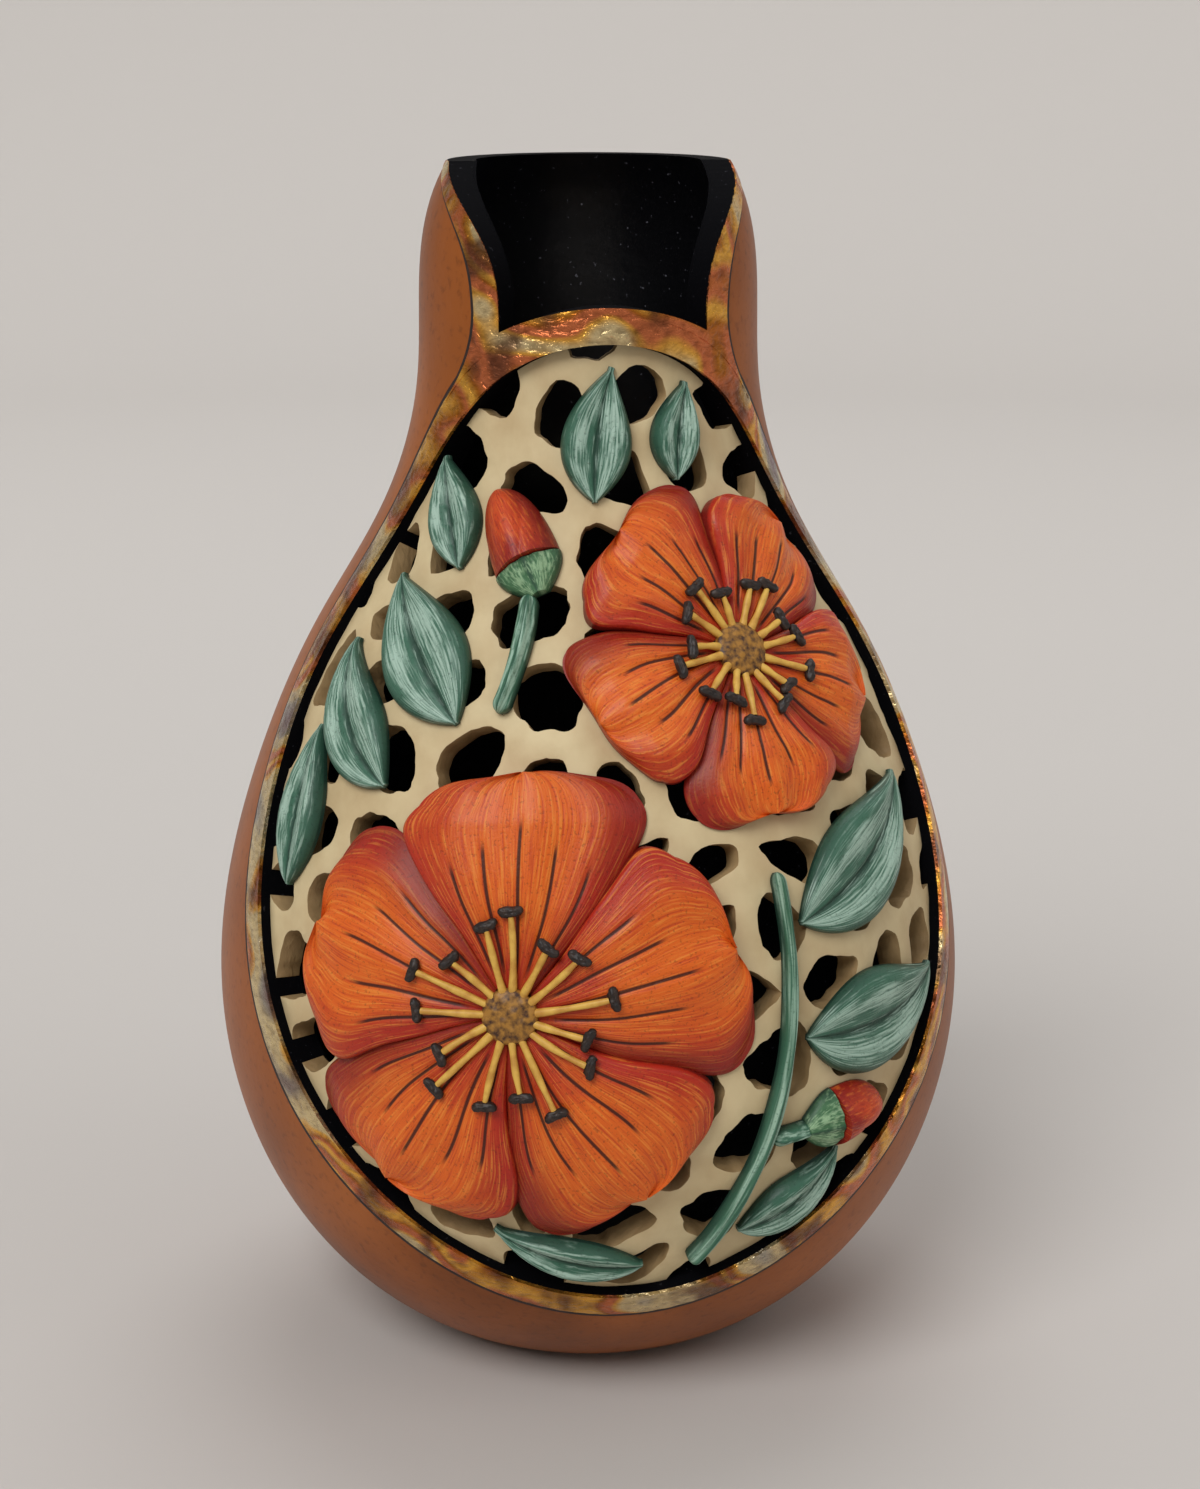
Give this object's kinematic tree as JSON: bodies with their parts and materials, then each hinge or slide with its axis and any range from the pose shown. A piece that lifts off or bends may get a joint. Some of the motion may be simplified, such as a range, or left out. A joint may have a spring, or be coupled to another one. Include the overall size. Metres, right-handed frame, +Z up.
{
  "type": "carved gourd vase",
  "caption": "Pear-shaped gourd vessel with a scooped neck and a gilt-edged front window holding a pierced panel carved with blossoms, buds and leaves; stands on a flat base as a folk ornament.",
  "frame": {"origin": "centre of the flat base", "axes": "+Z up along the gourd axis, carved window facing -Y"},
  "size_m": [0.1816, 0.186, 0.284],
  "materials": {
    "shell_skin": "satin brown-dyed gourd skin",
    "black_lining": "satin black paint",
    "gilt_leaf": "variegated metal leaf",
    "fretwork_cream": "matt cream paint on carved gourd shell",
    "petal_orange": "matt hand-brushed orange to red paint",
    "seed_head_ochre": "matt ochre paint",
    "filament_yellow": "matt yellow paint",
    "anther_black": "matt black paint",
    "calyx_green": "matt green paint",
    "bud_red": "matt red-orange paint",
    "leaf_green": "matt dark green paint with pale dry-brushed streaks",
    "stem_green": "matt green paint"
  },
  "bodies": {
    "root": {"blossom_high_anthers": "anther_black", "blossom_high_filaments": "filament_yellow", "blossom_high_petal_1": "petal_orange", "blossom_high_petal_2": "petal_orange", "blossom_high_petal_3": "petal_orange", "blossom_high_petal_4": "petal_orange", "blossom_high_petal_5": "petal_orange", "blossom_high_seed_head": "seed_head_ochre", "blossom_low_anthers": "anther_black", "blossom_low_filaments": "filament_yellow", "blossom_low_petal_1": "petal_orange", "blossom_low_petal_2": "petal_orange", "blossom_low_petal_3": "petal_orange", "blossom_low_petal_4": "petal_orange", "blossom_low_petal_5": "petal_orange", "blossom_low_seed_head": "seed_head_ochre", "bud_high": "bud_red", "bud_high_calyx": "calyx_green", "bud_low": "bud_red", "bud_low_calyx": "calyx_green", "fretwork_belly_left": "fretwork_cream", "fretwork_belly_middle": "fretwork_cream", "fretwork_belly_right": "fretwork_cream", "fretwork_crown_left": "fretwork_cream", "fretwork_crown_middle": "fretwork_cream", "fretwork_crown_right": "fretwork_cream", "fretwork_shoulder_left": "fretwork_cream", "fretwork_shoulder_middle": "fretwork_cream", "fretwork_shoulder_right": "fretwork_cream", "fretwork_toe_left": "fretwork_cream", "fretwork_toe_right": "fretwork_cream", "gilt_neck_band": "gilt_leaf", "gilt_window_band": "gilt_leaf", "gourd_shell": "shell_skin", "inner_lining": "black_lining", "leaf_crown": "leaf_green", "leaf_crown_left": "leaf_green", "leaf_crown_right": "leaf_green", "leaf_left_high": "leaf_green", "leaf_left_low": "leaf_green", "leaf_left_mid": "leaf_green", "leaf_right_low": "leaf_green", "leaf_right_mid": "leaf_green", "leaf_toe_left": "leaf_green", "leaf_toe_right": "leaf_green", "stem_bud_high": "stem_green", "stem_bud_low": "stem_green", "stem_low": "stem_green"}
  },
  "joints": []
}
